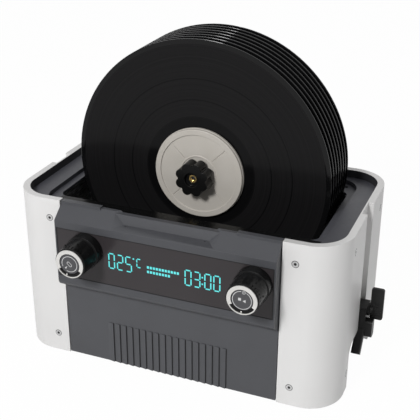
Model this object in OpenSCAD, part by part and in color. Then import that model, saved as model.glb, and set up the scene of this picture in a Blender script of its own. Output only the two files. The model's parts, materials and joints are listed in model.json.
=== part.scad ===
// Record cleaning machine: an ultrasonic bath that turns a stack of twelve-inch records on a spindle.
// Millimetres. X runs to the right, Y to the back, Z up. The origin is on the table, midway between the feet.

/* [Cabinet] */
// Width of a side shell's wall and deck beside the tank
side_room = 39.5; // [38:0.5:44]
// Depth of the deck and the shell's wall before and behind the tank
end_room = 40.5; // [39:0.5:44]
// Height of the side shells
shell_h = 196; // [192:1:204]
// Outside radius of the cabinet's upright corners
corner_r = 41; // [36:1:46]
// Wall of a side shell, seen as the rim on top
shell_t = 8; // [7.5:0.5:9]
// Width of the front and back openings between the two shells
shell_gap_w = 254.6; // [250:0.5:258]
// Height of the rubber feet below the shells
foot_proud = 2; // [1.5:0.5:3]
// Radius of a rubber foot
foot_r = 9; // [7:0.5:10]
// Gap between a panel and the shells beside it
panel_gap = 1; // [0.5:0.1:1.5]
// How far the front and back panels lie behind the shells
panel_recess = 1; // [0.8:0.1:1.5]
// Thickness of the front and back panels
panel_t = 3; // [2.5:0.5:3.5]

/* [Side shells] */
// Width of the upright channel in each side
channel_w = 31; // [26:1:34]
// Depth of the channel
channel_depth = 6; // [5:0.5:6.5]
// Place of the channel's middle along the side
channel_y = 2; // [-4:1:6]
// Half length of the hand-hold in each side
hold_half = 51.5; // [46:0.5:52]
// Web between the hand-hold and the middle of the drain
hold_web = 14; // [13:1:20]
// Corner radius of the hand-hold
hold_r = 12; // [6:1:16]
// Distance of the front and back shell screws from the shell's upright edge
screw_in = 14; // [11:0.5:16]
// Distance of the side's shell screws from the shell's front and back
screw_end = 48.5; // [46:0.5:49.5]
// Distance of the shell screws from the shell's lower and upper edge
screw_edge = 23; // [20:0.5:28]
// Radius of a shell screw's head
screw_head_r = 3.4; // [3:0.1:3.8]
// Radius of a shell screw's shank
screw_shank_r = 1.5; // [1.2:0.1:1.8]

/* [Front panel and console] */
// How far the console stands in front of the shells
console_proud = 15; // [13:0.5:18]
// Depth of the console's crest below the rim
crest_drop = 15.5; // [14:0.5:18]
// Height of the console's front
console_h = 78.5; // [75:0.5:82]
// Wall behind the window
console_wall = 4; // [3.5:0.5:5]
// Half width of the scoop in the console's top, at the crest
scoop_half = 57; // [45:1:60]
// Frame of the console beside the smoked window
window_side = 1.8; // [1.6:0.1:4]
// Height of the smoked window
window_h = 58.5; // [56:0.5:60]
// Thickness of the smoked window
window_t = 2; // [1.5:0.1:2.2]
// Depth of the window's middle below the crest
window_drop = 38.7; // [38:0.1:40]
// Number of ridges in the front panel
rib_count = 18; // [12:1:20]
// Distance from one ridge to the next
rib_pitch = 8.05; // [6:0.05:9]
// Height of the ridges
rib_h = 52; // [40:1:56]
// How far a ridge stands out of the front panel
rib_proud = 1; // [0.6:0.1:1.2]

/* [Knobs] */
// Distance of the left knob from the console's end
knob_left_in = 38.3; // [34:0.1:46]
// Distance of the right knob from the console's end
knob_right_in = 22.3; // [21.5:0.1:28]
// Depth of the knobs' axes below the crest
knob_drop = 28.8; // [27:0.1:32]
// Outside radius of a knob's rear skirt
skirt_r = 19.4; // [18:0.1:20]
// Outside radius of a knob's grip
grip_r = 17.5; // [16.6:0.1:18]
// Length of a knob from the window to its face
knob_len = 37.5; // [32:0.5:40]
// Length of the skirt
skirt_len = 12; // [8:1:16]
// Outside radius of the silver ring on the face
ring_r = 16.1; // [15:0.1:16.5]
// Radius of the push button in the face
button_r = 11.5; // [10:0.1:12]
// Travel of the push button
button_travel = 0.8; // [0.4:0.1:1.2]
// Radius of the fixed tube that a knob turns on
carrier_r = 9; // [8:0.5:9.5]
// Number of small nubs round a knob's grip
nub_count = 7; // [5:1:9]

/* [Bath] */
// Room between the records and each end of the tank
tank_end_gap = 1.2; // [1:0.1:4]
// Half width of the tank inside
tank_half_y = 66.5; // [64:0.5:72]
// Room between the records and the tank's floor
tank_floor_gap = 7.3; // [6:0.1:9]
// Corner radius of the tank inside
tank_r = 10; // [6:1:12]
// Sheet thickness of the tank
tank_t = 1.2; // [0.8:0.1:1.5]
// Depth of the deck below the rim
deck_drop = 9; // [8:0.5:10]
// Depth of the inner ledge below the deck
ledge_drop = 5; // [4:0.5:6]
// Width of the deck beside its opening
deck_side_w = 23; // [20:0.5:24.5]
// Width of the deck ahead of its opening
deck_front_w = 5; // [4:0.5:9]
// Width of the deck behind its opening
deck_back_w = 8; // [7:0.5:9]

/* [Records] */
// Number of records on the spindle
record_count = 8; // [2:1:8]
// Radius of a twelve-inch record
record_r = 150.8; // [150:0.1:151]
// Thickness of a record at its edge and label
record_t = 2; // [1.6:0.1:2.2]
// Distance from one record to the next
record_pitch = 10.1; // [9:0.05:10.15]
// Gap between the rear clamp disc and the drive head
stack_gap = 2.3; // [2:0.1:4]
// Height of the spindle above the rim
spindle_rise = 18.1; // [17:0.1:22]
// Radius of the spindle
spindle_r = 3.55; // [3.3:0.05:3.57]
// Radius of the hole in a record
record_hole_r = 3.62; // [3.6:0.01:3.7]
// Radius of the clamp discs
clamp_r = 52.8; // [50.5:0.1:54]
// Thickness of a clamp disc
clamp_t = 6; // [5:0.5:7]
// Outside radius of the star knob
star_r = 19.5; // [17:0.5:22]
// Number of lobes on the star knob
star_lobes = 8; // [5:1:10]
// Length of the star knob
star_len = 19.5; // [14:0.5:22]
// Pitch of the thread under the star knob
thread_pitch = 1; // [0.75:0.25:1.25]

/* [Drive head] */
// Width of the drive head
head_w = 92; // [90:1:100]
// Depth of the drive head
head_d = 52; // [50:1:56]
// Height of the drive head
head_h = 55; // [54:1:62]
// Wall of the drive head
head_t = 2.5; // [2:0.1:3]
// Module of the two gears
gear_module = 0.9; // [0.9:0.1:0.9]
// Teeth of the motor's gear
pinion_teeth = 14; // [14:2:14]
// Teeth of the spindle's gear
gear_teeth = 28; // [28:2:28]
// Width of the gears
gear_w = 7; // [5:0.5:8]
// Radius of the gear motor
motor_r = 12.5; // [11:0.5:13]
// Radius of a guide rod
rod_r = 5; // [4:0.5:6]
// Sideways place of the guide rods
rod_x = 34; // [30:1:38]
// Lift of the drive head
lift = 120; // [80:5:130]

/* [Drain] */
// Height of the drain pipe's middle above the tank's floor
drain_rise = 10; // [9:0.5:12]
// Radius of the drain pipe's bore
drain_bore_r = 5; // [4:0.5:5.5]
// Wall of the drain pipe
drain_wall = 2; // [1.5:0.5:2]
// Length of the drain lever
lever_len = 39; // [32:1:42]
// Radius of the outlet's bore
outlet_r = 3.4; // [2.5:0.1:3.5]
// Length of the slanting outlet
outlet_len = 31; // [24:1:34]

/* [Hidden] */
$fn = 64;
clear = 0.3;
run = 0.05;
seam = 0.01;
tank_half_x = record_r + tank_end_gap;
half_w = tank_half_x + side_room;
half_d = tank_half_y + end_room;
body_w = 2 * half_w;
body_d = 2 * half_d;
shell_z = foot_proud;
rim_z = foot_proud + shell_h;
in_w = half_w - shell_t;
in_d = half_d - shell_t;
in_r = corner_r - shell_t;
panel_half = shell_gap_w / 2 - panel_gap;
panel_y = half_d - panel_recess;
deck_z = rim_z - deck_drop;
deck_half_x = in_w - deck_side_w;
deck_front = in_d - deck_front_w;
deck_back = in_d - deck_back_w;
ledge_z = deck_z - ledge_drop;
frame_t = 3;
frame_z = ledge_z - frame_t;
ring_t = 3;
chassis_z = frame_z - 2 * clear - tank_t;
pan_z = foot_proud + 2;
pan_t = 2;
post_w = 16;
post_t = 10;
tab_t = 9;
tab_low = 12;
screw_x = shell_gap_w / 2 + screw_in;
screw_y = half_d - screw_end;
rear_screw_x = panel_half - 8.3;
screw_low = shell_z + screw_edge;
screw_high = rim_z - screw_edge;
front_y = -half_d - console_proud;
window_face = front_y + clear;
window_back = window_face + window_t;
wall_back = front_y + console_wall;
console_crest_z = rim_z - crest_drop;
console_low_z = console_crest_z - console_h;
window_z = console_crest_z - window_drop;
window_w = 2 * (panel_half - window_side);
knob_z = console_crest_z - knob_drop;
knob_left_x = -panel_half + knob_left_in;
knob_right_x = panel_half - knob_right_in;
board_left = knob_left_x + 19;
board_right = knob_right_x - 28;
panel_top = console_crest_z - 2.5;
console_top = rim_z - 2.2;
lip_start = scoop_half + 21;
knob_face = window_face - clear - knob_len;
carrier_hole = carrier_r + 0.2;
spindle_z = rim_z + spindle_rise;
tank_floor_z = spindle_z - record_r - tank_floor_gap;
head_front = tank_half_y;
stack_back = head_front - stack_gap - clamp_t - record_t / 2;
record_front_y = stack_back - (record_count - 1) * record_pitch;
clamp_seat = record_front_y - record_t / 2;
star_seat = clamp_seat - clamp_t;
brass_front = star_seat - star_len + 5;
spindle_tip = brass_front + 1.5;
gear_y = head_front + 6;
plate_y = gear_y + gear_w + 1.5;
plate_t = 2.5;
gear_distance = gear_module * (gear_teeth + pinion_teeth) / 2;
motor_z = spindle_z + gear_distance;
motor_len = 30;
plate_screw_x = head_w / 2 - 13;
head_low = rim_z + 1;
head_top = head_low + head_h;
head_back = head_front + head_d;
rod_y = tank_half_y + 13.5;
drain_z = tank_floor_z + drain_rise;
hold_h = drain_z - hold_web - shell_z;
foot_x = half_w - 41.5;
foot_y = half_d - 31;
fan_w = 60;
fan_x = rear_screw_x - 13 - fan_w / 2;
fan_z = 67;
inlet_x = 38 - rear_screw_x;
inlet_z = 46;
switch_z = 84;
drain_r = drain_bore_r + drain_wall;
outlet_depth = outlet_len - 3;
valve_x = half_w - channel_depth;
lever_z = drain_z + 7;
slot_len = 16;

// Rounded rectangle around the origin
module rounded(w, d, r) {
    square([w - 2 * r, d], center = true);
    square([w, d - 2 * r], center = true);
    for (sx = [-1, 1], sy = [-1, 1])
        translate([sx * (w / 2 - r), sy * (d / 2 - r)])
            circle(r = r);
}

// Upright slab of that outline between two heights
module slab(w, d, r, low, high) {
    translate([0, 0, low])
        linear_extrude(high - low)
            rounded(w, d, r);
}

// Box from one corner to the other
module box(low, high) {
    translate(low)
        cube(high - low);
}

// Round bar along Y between two places
module bar_y(r, y0, y1) {
    translate([0, y1, 0])
        rotate([90, 0, 0])
            cylinder(r = r, h = y1 - y0);
}

// Round bar along X between two places
module bar_x(r, x0, x1) {
    translate([x0, 0, 0])
        rotate([0, 90, 0])
            cylinder(r = r, h = x1 - x0);
}

// Profile of radius and Y turned about the Y axis
module turned_y(points) {
    rotate([-90, 0, 0])
        rotate_extrude()
            polygon(points);
}

// Flat shape in X and Z drawn out along Y between two places
module drawn_y(y0, y1) {
    translate([0, y1, 0])
        rotate([90, 0, 0])
            linear_extrude(y1 - y0)
                children();
}

// Shape in Y and Z drawn out along X between two places
module drawn_x(x0, x1) {
    translate([x0, 0, 0])
        rotate([90, 0, 90])
            linear_extrude(x1 - x0)
                children();
}

// Both sides, left one mirrored from the right one
module on_side(side) {
    if (side < 0)
        mirror([1, 0, 0])
            children();
    else
        children();
}

// Places of one side's shell screws: four on the side, two in front and two behind
module side_screws() {
    for (z = [screw_low, screw_high]) {
        for (s = [-1, 1])
            translate([half_w, s * screw_y, z])
                rotate([0, 90, 0])
                    children();
        for (s = [-1, 1])
            translate([screw_x, s * half_d, z])
                rotate([s * -90, 0, 0])
                    children();
    }
}

module shell() {
    difference() {
        intersection() {
            difference() {
                slab(body_w, body_d, corner_r, shell_z, rim_z);
                slab(2 * in_w, 2 * in_d, in_r, shell_z - 1, rim_z + 1);
            }
            box([shell_gap_w / 2, -half_d - 1, 0], [half_w + 1, half_d + 1, rim_z + 1]);
        }
        box([half_w - channel_depth, channel_y - channel_w / 2, shell_z + hold_h - 1],
            [half_w + 1, channel_y + channel_w / 2, rim_z + 1]);
        hold_cut();
        side_screws() {
            translate([0, 0, -shell_t - 1])
                cylinder(r = screw_shank_r + 0.2, h = shell_t + 2);
            translate([0, 0, -1.8])
                cylinder(r = screw_head_r + 0.2, h = 3);
        }
    }
}

// The hand-hold: a round-cornered gap in the lower edge
module hold_cut() {
    drawn_x(in_w - 1, half_w + 1)
        union() {
            translate([-hold_half, shell_z - 2])
                square([2 * hold_half, hold_h + 2 - hold_r]);
            translate([-hold_half + hold_r, shell_z - 2])
                square([2 * (hold_half - hold_r), hold_h + 2]);
            for (s = [-1, 1])
                translate([s * (hold_half - hold_r), shell_z + hold_h - hold_r])
                    circle(r = hold_r);
        }
}

module left_shell() {
    color("gainsboro")
        on_side(-1)
            shell();
}

module right_shell() {
    color("gainsboro")
        difference() {
            shell();
            translate([0, channel_y, drain_z])
                bar_x(drain_r + clear, in_w - 1, half_w);
        }
}

// Button head with a hexagon socket
module shell_screw(grip) {
    difference() {
        union() {
            translate([0, 0, -1.7])
                cylinder(r = screw_head_r, h = 1.9);
            translate([0, 0, -grip - 6])
                cylinder(r = screw_shank_r, h = grip + 5);
        }
        translate([0, 0, -0.9])
            cylinder(r = screw_head_r * 0.52, h = 2, $fn = 6);
    }
}

// Places of the screws that hold the rear panel
module rear_screws() {
    for (sx = [-1, 1], z = [tab_low + 6, 100, rim_z - 24])
        translate([sx * rear_screw_x, panel_y, z])
            rotate([-90, 0, 0])
                children();
}

module cabinet_screws() {
    color("silver")
        union() {
            for (side = [-1, 1])
                on_side(side)
                    side_screws()
                        shell_screw(shell_t);
            rear_screws()
                shell_screw(panel_t);
        }
}

// Sheet frame inside the shells: a top ring on eight posts that take the shell screws
module chassis() {
    color("darkgray")
        difference() {
            union() {
                difference() {
                    slab(2 * (in_w - clear), 2 * (in_d - clear), in_r - clear, chassis_z - ring_t, chassis_z);
                    box([-tank_half_x - 2, -tank_half_y - 2, 0], [tank_half_x + 2, tank_half_y + 2, 300]);
                    box([-90, -in_d, 0], [90, -tank_half_y - 14, 300]);
                    for (s = [-1, 1])
                        translate([s * rod_x, rod_y, 0])
                            cylinder(r = rod_r + 4, h = 300);
                }
                for (sx = [-1, 1], sy = [-1, 1]) {
                    post(sx * screw_x, sy * (in_d - clear - post_t / 2), post_w, post_t);
                    post(sx * (in_w - clear - post_t / 2), sy * (screw_y + 2), post_t, 12);
                    post(sx * rear_screw_x, sy * (panel_y - panel_t - tab_t / 2), 15, tab_t);
                }
            }
            for (side = [-1, 1])
                on_side(side)
                    side_screws()
                        translate([0, 0, -shell_t - 7])
                            cylinder(r = screw_shank_r, h = 8);
            rear_screws()
                translate([0, 0, -panel_t - 7])
                    cylinder(r = screw_shank_r, h = 8);
        }
}

module post(x, y, w, d) {
    box([x - w / 2, y - d / 2, pan_z + pan_t], [x + w / 2, y + d / 2, chassis_z - ring_t + seam]);
}

module base_pan() {
    color("dimgray")
        difference() {
            slab(2 * (in_w - clear), 2 * (in_d - clear), in_r - clear, pan_z, pan_z + pan_t);
            for (s = [-1, 1])
                translate([s * in_w, 0, 0])
                    box([-24, -hold_half - 1, 0], [24, hold_half + 1, pan_z + pan_t + 1]);
            for (x = [-100:16:100])
                translate([x, 0, 0])
                    box([-2, -20, 0], [2, 20, 20]);
        }
}

module feet() {
    color("black")
        for (sx = [-1, 1], sy = [-1, 1])
            translate([sx * foot_x, sy * foot_y, 0])
                difference() {
                    union() {
                        cylinder(r = foot_r, h = pan_z);
                        cylinder(r = foot_r - 1.5, h = pan_z);
                    }
                    translate([0, 0, -1])
                        cylinder(r = 2.5, h = 3);
                }
}

// Saw-tooth ridges: each rises from the left and drops sharply on its right
module rib_row() {
    first = -rib_pitch * (rib_count - 1) / 2;
    for (i = [0:rib_count - 1])
        translate([first + i * rib_pitch, 0, 0])
            linear_extrude(rib_h)
                polygon([[0, seam], [0, -rib_proud], [-0.8, -rib_proud], [-rib_pitch * 0.86, seam]]);
}

module front_panel() {
    color([0.34, 0.345, 0.36])
        union() {
            difference() {
                box([-panel_half, -panel_y, shell_z + 1], [panel_half, -panel_y + panel_t, panel_top]);
                box([knob_left_x - 12, -panel_y - 1, console_low_z + 6],
                    [knob_right_x + 10, -panel_y + panel_t + 1, panel_top - 8]);
            }
            translate([0, -panel_y, shell_z + 1])
                rib_row();
        }
}

// Side view of the console, as Y and Z
function console_outline() = [
    [-panel_y - clear, console_low_z - 10.5],
    [-panel_y - 1.5, console_low_z - 10.5],
    [front_y + 5, console_low_z - 3.4],
    [front_y + 2.4, console_low_z - 2],
    [front_y + 0.7, console_low_z + 0.4],
    [front_y, console_low_z + 3.5],
    [front_y, console_crest_z - 1.6],
    [front_y + 0.4, console_crest_z - 0.6],
    [front_y + 1.5, console_crest_z],
    [-in_d - 4.5, console_top],
    [-in_d - clear, console_top],
    [-in_d - clear, panel_top + clear],
    [-panel_y - clear, panel_top + clear]];

module console() {
    color([0.36, 0.365, 0.38])
        difference() {
            union() {
                drawn_x(-panel_half, panel_half)
                    polygon(console_outline());
                for (x = [[-panel_half, -lip_start], [lip_start, panel_half]])
                    box([x[0], -in_d - 6.7, console_top - 2], [x[1], -in_d - clear, rim_z - 0.3]);
            }
            drawn_x(-panel_half + 2.5, panel_half - 2.5)
                polygon([
                    [-panel_y, console_low_z - 6.5],
                    [-panel_y - 3, console_low_z - 6.5],
                    [wall_back, console_low_z + 0.5],
                    [wall_back, console_crest_z - 4],
                    [-panel_y, console_crest_z - 1]]);
            scoop_cut();
            box([-window_w / 2 - 0.2, front_y - 1, window_z - window_h / 2 - 0.2],
                [window_w / 2 + 0.2, window_back + 0.1, window_z + window_h / 2 + 0.2]);
            box([board_left + 2, front_y, window_z - 17], [board_right - 2, wall_back + 1, window_z + 15]);
            for (x = [-45.5, 45.5])
                translate([x, -half_d - 3.4, console_crest_z + 0.3])
                    cylinder(r = 1.1, h = 6);
            for (x = [knob_left_x, knob_right_x])
                translate([x, 0, knob_z])
                    bar_y(carrier_hole, front_y, wall_back + 1);
        }
}

// The scoop: a low place in the top with a near-level floor, a steep back and slanting ends
module scoop_cut() {
    intersection() {
        drawn_x(-100, 100)
            polygon([
                [front_y + 1.4, console_crest_z],
                [-in_d - 9.5, console_crest_z + 1.5],
                [-in_d - 6.3, console_top - 1.8],
                [-in_d, console_top - 1.8],
                [-in_d, rim_z + 5],
                [front_y + 1.4, rim_z + 5]]);
        half_space([-scoop_half, front_y + 2.7, console_crest_z], [0.504, -0.487, 0.713]);
        half_space([scoop_half, front_y + 2.7, console_crest_z], [-0.504, -0.487, 0.713]);
    }
}

// Large cube whose lower face passes through a point and faces away from the normal
module half_space(point, normal) {
    translate(point)
        rotate([0, acos(normal[2] / norm(normal)), atan2(normal[1], normal[0])])
            translate([-150, -150, 0])
                cube([300, 300, 150]);
}

module display_window() {
    color([0.2, 0.19, 0.2])
        difference() {
            box([-window_w / 2, window_face, window_z - window_h / 2],
                [window_w / 2, window_back, window_z + window_h / 2]);
            for (x = [knob_left_x, knob_right_x])
                translate([x, 0, knob_z])
                    bar_y(carrier_hole, window_face - 1, window_back + 1);
        }
}

module display_board() {
    color("darkgreen")
        difference() {
            box([board_left, wall_back + clear, window_z - 20],
                [board_right, wall_back + clear + 1.6, window_z + 18]);
            for (x = [board_left + 4, board_right - 4], z = [-16, 14])
                translate([x, 0, window_z + z])
                    bar_y(1.3, wall_back, wall_back + 4);
        }
}

// Two blocks of seven-segment figures and a level bar between them
module digit_module() {
    color("black")
        for (x = [[board_left + 5, board_left + 35],
                  [board_left + 49, board_right - 52],
                  [board_right - 49, board_right - 7]])
            box([x[0], window_back + clear, window_z - 13], [x[1], wall_back + clear, window_z + 11]);
}

// Fixed tube with a flange behind the window, which a knob turns on
module knob_carrier(x) {
    color("dimgray")
        translate([x, 0, knob_z])
            difference() {
                union() {
                    bar_y(carrier_r, knob_face + 11, wall_back + 6);
                    bar_y(carrier_r + 4, wall_back, wall_back + 2);
                }
                bar_y(carrier_r / 2 + 0.5 + run, knob_face, wall_back + 7);
            }
}

module knob_boards() {
    color("darkgreen")
        for (x = [knob_left_x, knob_right_x])
            translate([x, 0, knob_z])
                difference() {
                    bar_y(15, wall_back + 2 + clear, wall_back + 3.6 + clear);
                    bar_y(carrier_r + 0.1, wall_back, wall_back + 6);
                }
}

// Knob: wide skirt, grip with small nubs, a well for the push button in its face
module knob(x, turn) {
    color([0.09, 0.09, 0.1])
        translate([x, 0, knob_z])
            difference() {
                union() {
                    turned_y([
                        [0, window_face - clear],
                        [skirt_r - 0.6, window_face - clear],
                        [skirt_r, window_face - clear - 0.8],
                        [skirt_r, window_face - skirt_len],
                        [skirt_r - 0.8, window_face - skirt_len - 0.4],
                        [skirt_r - 0.8, window_face - skirt_len - 1.2],
                        [grip_r + 0.8, window_face - skirt_len - 1.6],
                        [grip_r, knob_face + 2],
                        [grip_r - 1, knob_face + 0.9],
                        [0, knob_face + 0.9]]);
                    for (a = [0:360 / nub_count:359])
                        rotate([0, -turn - a, 0])
                            translate([0, knob_face + 13.5, 0])
                                bar_x(0.9, grip_r - 1, grip_r + 1.4);
                }
                bar_y(carrier_r + run, knob_face - 1, window_face + 1);
                bar_y(button_r + 0.4, knob_face - 1, knob_face + 9);
                knurl();
            }
}

// Fine grooves round the front of the grip
module knurl() {
    for (a = [0:12:359])
        rotate([0, a, 0])
            translate([grip_r + 0.25, 0, 0])
                rotate([0, 45, 0])
                    box([-0.5, knob_face + 2.5, -0.5], [0.5, knob_face + 7, 0.5]);
}

// Silver ring: wide over the top, narrow where the black crescent lies below
module knob_ring(x) {
    color("silver")
        translate([x, 0, knob_z])
            difference() {
                bar_y(ring_r, knob_face, knob_face + 0.9);
                bar_y(button_r + 0.4, knob_face - 1, knob_face + 2);
                drawn_y(knob_face - 1, knob_face + 2)
                    intersection() {
                        circle(r = ring_r - 1.1);
                        polygon([[0, 0], [-30, -17], [-30, -40], [30, -40], [30, -17]]);
                    }
            }
}

module button(x) {
    color([0.27, 0.28, 0.3])
        translate([x, 0, knob_z])
            union() {
                turned_y([
                    [0, knob_face + 0.1],
                    [button_r - 0.5, knob_face + 0.3],
                    [button_r, knob_face + 0.9],
                    [button_r, knob_face + 5.5],
                    [0, knob_face + 5.5]]);
                bar_y(carrier_r / 2 + 0.5, knob_face + 5, window_face + 2);
            }
}

// Grey frame round the tank: deck, step and inner ledge
module top_frame() {
    color([0.31, 0.31, 0.33])
        difference() {
            slab(2 * (in_w - clear), 2 * (in_d - clear), in_r - clear, frame_z, deck_z);
            translate([0, (deck_back - deck_front) / 2, 0])
                slab(2 * deck_half_x, deck_back + deck_front, 26, ledge_z, deck_z + 1);
            slab(2 * tank_half_x, 2 * tank_half_y, tank_r, frame_z - 1, ledge_z + 1);
            for (s = [-1, 1]) {
                translate([s * rod_x, rod_y, frame_z - 1])
                    cylinder(r = rod_r + 3, h = 30);
                translate([s * (deck_half_x - 20.5), deck_back - 11, 0])
                    slab(slot_len, 5, 2.4, frame_z - 1, ledge_z + 1);
            }
        }
}

// Black strip on the ledge between the console and the tank
module splash_strip() {
    color([0.05, 0.05, 0.055])
        difference() {
            intersection() {
                translate([0, (deck_back - deck_front) / 2, 0])
                    slab(2 * deck_half_x - 1, deck_back + deck_front - 1, 25.5, ledge_z, ledge_z + 2);
                box([15.5 - deck_half_x, -deck_front, ledge_z], [deck_half_x, -tank_half_y - 3.5, ledge_z + 2]);
            }
            for (x = [-120, 120])
                translate([x, -deck_front + 8, 0])
                    slab(9, 4, 1.9, ledge_z - 1, ledge_z + 3);
        }
}

// Deep-drawn steel tank with a narrow flange that rests on the chassis, under the top frame
module tank() {
    color("lightgray")
        difference() {
            union() {
                slab(2 * (tank_half_x + tank_t), 2 * (tank_half_y + tank_t), tank_r + tank_t,
                    tank_floor_z - tank_t, frame_z - clear);
                slab(2 * (tank_half_x + 4.5), 2 * (tank_half_y + 4.5), tank_r + 4.5,
                    frame_z - clear - tank_t, frame_z - clear);
                translate([0, channel_y, drain_z])
                    bar_x(drain_r + 3, tank_half_x, tank_half_x + 5);
            }
            slab(2 * tank_half_x, 2 * tank_half_y, tank_r, tank_floor_z, rim_z);
            translate([0, channel_y, drain_z])
                bar_x(drain_r, tank_half_x - 2, tank_half_x + 6);
        }
}

// Stacked transducers bonded under the tank floor
module transducers() {
    below = tank_floor_z - tank_t;
    tall = below - pan_z - pan_t - 10.8;
    color("silver")
        for (x = [-1.5:1:1.5], y = [-0.5, 0.5])
            translate([x * tank_half_x * 0.46, y * tank_half_y * 0.96, 0])
                union() {
                    translate([0, 0, below - tall * 0.35])
                        cylinder(r1 = 14, r2 = 22, h = tall * 0.35, $fn = 48);
                    translate([0, 0, below - tall * 0.65])
                        cylinder(r = 15, h = tall * 0.3 + seam);
                    translate([0, 0, below - tall])
                        cylinder(r = 13.5, h = tall * 0.35 + seam);
                }
}

module heater_pads() {
    color("orange")
        for (s = [-1, 1])
            translate([0, s * (tank_half_y + tank_t + 1), 0])
                box([52 - tank_half_x, -1, tank_floor_z + 22], [tank_half_x - 52, 1, tank_floor_z + 82]);
}

module generator_board() {
    color("darkgreen")
        translate([0, -in_d + 3, pan_z + pan_t])
            union() {
                box([-70, 0, 8], [70, 24, 9.6]);
                for (x = [-64, 64], y = [4, 20])
                    translate([x, y, 0])
                        cylinder(r = 3, h = 8 + seam);
                translate([-30, 12, 9.6 - seam])
                    cylinder(r = 9, h = 26);
                box([0, 2, 9.6 - seam], [40, 22, 30]);
            }
}

module power_supply() {
    color("silver")
        translate([0, in_d - 25, pan_z + pan_t])
            difference() {
                box([-28, 0, 0], [28, 24, 29]);
                for (i = [0:5])
                    box([-22 + i * 8, 6, 25], [-18 + i * 8, 18, 30]);
            }
}

module rear_panel() {
    color([0.34, 0.345, 0.36])
        difference() {
            union() {
                box([-panel_half, panel_y - panel_t, shell_z + 1], [panel_half, panel_y, rim_z - 8]);
                box([-panel_half, in_d + clear, rim_z - 8 - seam], [panel_half, panel_y, rim_z]);
            }
            translate([inlet_x, 0, inlet_z])
                box([-14.2, panel_y - panel_t - 1, -10.2], [14.2, panel_y + 1, 10.2]);
            translate([inlet_x, 0, switch_z])
                box([-10.7, panel_y - panel_t - 1, -7.2], [10.7, panel_y + 1, 7.2]);
            for (i = [0:9])
                translate([fan_x, 0, fan_z - 27 + i * 6])
                    drawn_y(panel_y - panel_t - 1, panel_y + 1)
                        rounded(56, 2.6, 1.2);
            rear_screws() {
                translate([0, 0, -panel_t - 1])
                    cylinder(r = screw_shank_r + 0.2, h = panel_t + 2);
                translate([0, 0, -1.8])
                    cylinder(r = screw_head_r + 0.2, h = 3);
            }
        }
}

// Three-pin mains inlet with a flange outside the rear panel
module power_inlet() {
    color("black")
        translate([inlet_x, 0, inlet_z])
            union() {
                difference() {
                    union() {
                        box([-17, panel_y, -12.5], [17, panel_y + 2, 12.5]);
                        box([-14, panel_y - 18, -10], [14, panel_y + seam, 10]);
                    }
                    box([-12.2, panel_y - 15, -8.2], [12.2, panel_y + 3, 8.2]);
                }
                for (x = [-7, 0, 7])
                    box([x - 1, panel_y - 15 - seam, x == 0 ? 0.5 : -4.5], [x + 1, panel_y - 2, x == 0 ? 4.5 : -0.5]);
            }
}

module power_switch_body() {
    color("black")
        translate([inlet_x, 0, switch_z])
            difference() {
                union() {
                    box([-12.5, panel_y, -9], [12.5, panel_y + 1.6, 9]);
                    box([-10.5, panel_y - 14, -7], [10.5, panel_y + seam, 7]);
                }
                box([-9, panel_y - 9, -5.5], [9, panel_y + 3, 5.5]);
                translate([0, panel_y - 2, -6.5])
                    cylinder(r = 1 + run, h = 13);
            }
}

// Rocker: turns about Z on a pin hidden in the switch body
module power_switch_rocker() {
    color("darkred")
        translate([inlet_x, panel_y - 2, switch_z])
            rotate([0, 0, 9])
                union() {
                    translate([0, 0, -5.2])
                        linear_extrude(10.4)
                            polygon([[-8.1, 1.5], [0, 2.6], [8.1, 1.5], [7.6, -1.2],
                                     [3, -4], [-3, -4], [-7.6, -1.2]]);
                    translate([0, 0, -6.3])
                        cylinder(r = 1, h = 12.6);
                }
}

module fan_frame() {
    color("black")
        translate([fan_x, panel_y - panel_t - clear, fan_z])
            difference() {
                union() {
                    difference() {
                        drawn_y(-15, 0)
                            rounded(fan_w, fan_w, 4);
                        bar_y(fan_w / 2 - 2, -16, 1);
                    }
                    drawn_y(-15, -12.5)
                        union() {
                            circle(r = 13);
                            for (a = [45, 135])
                                rotate(a)
                                    square([58, 4], center = true);
                        }
                    bar_y(2, -15, -3);
                }
                for (x = [-25, 25], z = [-25, 25])
                    translate([x, 0, z])
                        bar_y(2, -16, 1);
            }
}

module fan_rotor() {
    color("dimgray")
        translate([fan_x, panel_y - panel_t - clear, fan_z])
            difference() {
                union() {
                    bar_y(12, -12, -1.5);
                    for (a = [0:360 / 7:359])
                        rotate([0, a, 0])
                            translate([11, -6.75, 0])
                                rotate([35, 0, 0])
                                    box([0, -4.5, -0.6], [15.5, 4.5, 0.6]);
                }
                bar_y(2 + run, -13, -2.9);
            }
}

module drain_pipe() {
    color("silver")
        translate([0, channel_y, drain_z])
            difference() {
                bar_x(drain_r - run, tank_half_x - seam, valve_x + 6);
                bar_x(drain_bore_r, tank_half_x - 1, valve_x + 7);
            }
}

// Angle valve in the foot of the channel, with its outlet turned down and forward
module drain_valve_body() {
    color([0.1, 0.1, 0.11])
        translate([half_w, channel_y, drain_z])
            difference() {
                union() {
                    drawn_x(clear - channel_depth, 7)
                        translate([-1, -1.5])
                            rounded(26, 29, 4);
                    drawn_x(2.8, 15.3)
                        translate([-8.1, -12])
                            rounded(11.8, 20.8, 3);
                    translate([0, 0, lever_z - drain_z])
                        bar_x(7.5, 7 - seam, 9);
                    on_spout()
                        linear_extrude(outlet_len)
                            rounded(10.3, 9, 2);
                }
                bar_x(drain_r + run, -channel_depth, 0.3);
                bar_x(drain_bore_r, -channel_depth, 4);
                on_spout()
                    translate([0, 0, outlet_len - outlet_depth])
                        cylinder(r = outlet_r, h = outlet_depth + 1);
                on_spout()
                    translate([0, 0, -15])
                        cylinder(r = outlet_r - 0.8, h = outlet_len);
                translate([0, 0, lever_z - drain_z])
                    bar_x(3 + run, 4, 10);
            }
}

// Puts a shape that rises from zero along the slanting outlet
module on_spout() {
    translate([2, -8.7, -13])
        rotate([143, 0, 0])
            children();
}

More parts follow.
